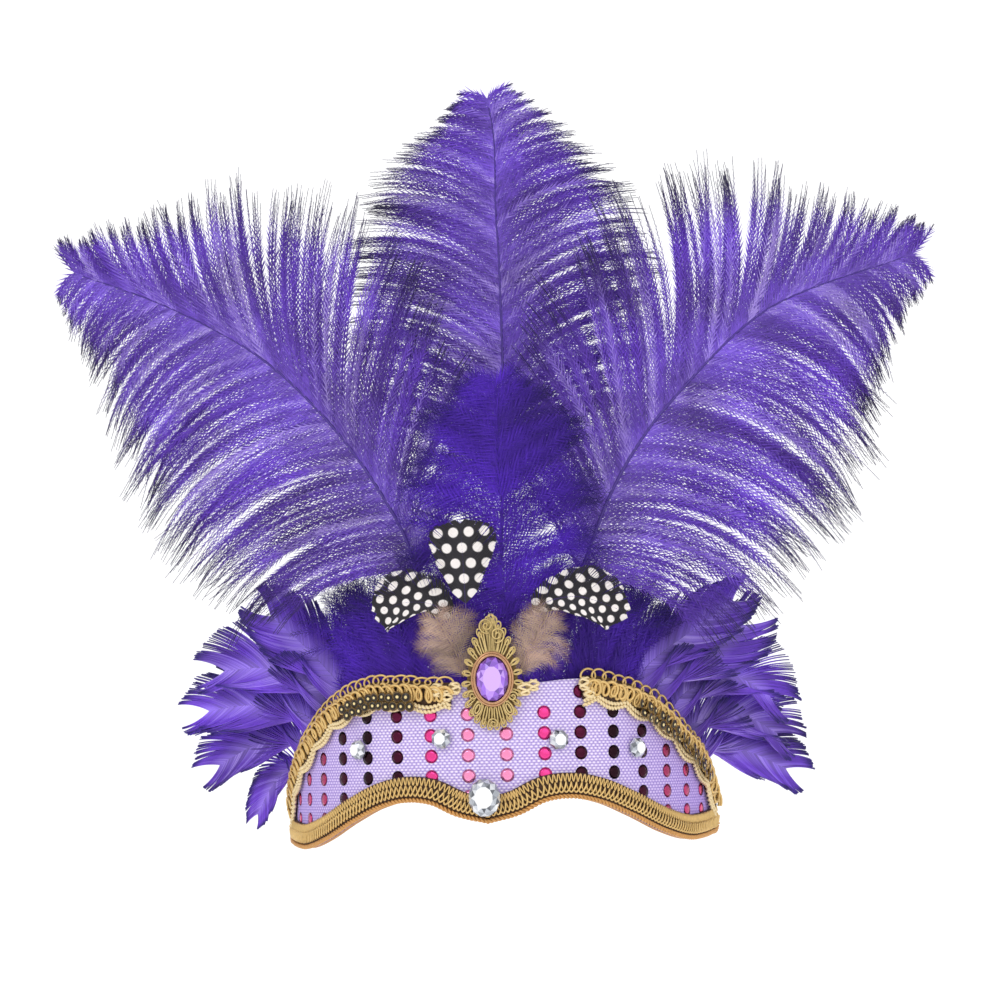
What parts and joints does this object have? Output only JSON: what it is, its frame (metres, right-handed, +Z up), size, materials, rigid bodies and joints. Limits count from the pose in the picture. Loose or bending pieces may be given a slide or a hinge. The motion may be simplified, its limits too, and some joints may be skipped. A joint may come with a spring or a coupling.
{
  "type": "carnival feather headdress",
  "caption": "Curved crown band with gold braids, stones and a medallion, and a fan of three ostrich plumes over guinea fowl feathers, marabou and smooth side feathers.",
  "frame": {"origin": "on the inner face of the crown band, at the middle of the forehead and half way up the band", "axes": "+Z up; the front faces -Y and the head is on the +Y side; +X is to the right of someone who looks at the front"},
  "size_m": [0.3553, 0.1031, 0.3076],
  "materials": {
    "sequinned_cloth": "lilac knitted cloth with flat foil dots",
    "gold_braid": "metallic gold thread, woven and looped",
    "bronze_sequins": "dark bronze cup sequins",
    "gilt_metal": "pale antique gold filigree",
    "amethyst_stone": "faceted violet acrylic with a foil back",
    "clear_stone": "faceted clear acrylic with a foil back",
    "ostrich_plume": "dyed violet ostrich barbs with dark tips",
    "marabou": "deep violet down",
    "guinea_feather": "black brown with round white dots",
    "tan_down": "tan and grey down",
    "smooth_feather": "smooth dyed violet vanes"
  },
  "bodies": {
    "root": {"crown_band": "sequinned_cloth", "lower_braid": "gold_braid", "upper_braid_left": "gold_braid", "upper_braid_right": "gold_braid", "sequin_row_left": "bronze_sequins", "sequin_row_right": "bronze_sequins", "medallion": "gilt_metal", "oval_stone": "amethyst_stone", "peak_stone": "clear_stone", "round_stone_1": "clear_stone", "round_stone_2": "clear_stone", "round_stone_3": "clear_stone", "round_stone_4": "clear_stone", "plume_left": "ostrich_plume", "plume_right": "ostrich_plume", "plume_centre": "ostrich_plume", "marabou_centre": "marabou", "marabou_left": "marabou", "marabou_right": "marabou", "guinea_centre": "guinea_feather", "guinea_left": "guinea_feather", "guinea_right": "guinea_feather", "tan_fluff_left": "tan_down", "tan_fluff_right": "tan_down", "side_feather_left_1": "smooth_feather", "side_feather_left_2": "smooth_feather", "side_feather_left_3": "smooth_feather", "side_feather_left_4": "smooth_feather", "side_feather_left_5": "smooth_feather", "side_feather_right_1": "smooth_feather", "side_feather_right_2": "smooth_feather", "side_feather_right_3": "smooth_feather", "side_feather_right_4": "smooth_feather", "side_feather_right_5": "smooth_feather"}
  },
  "joints": []
}
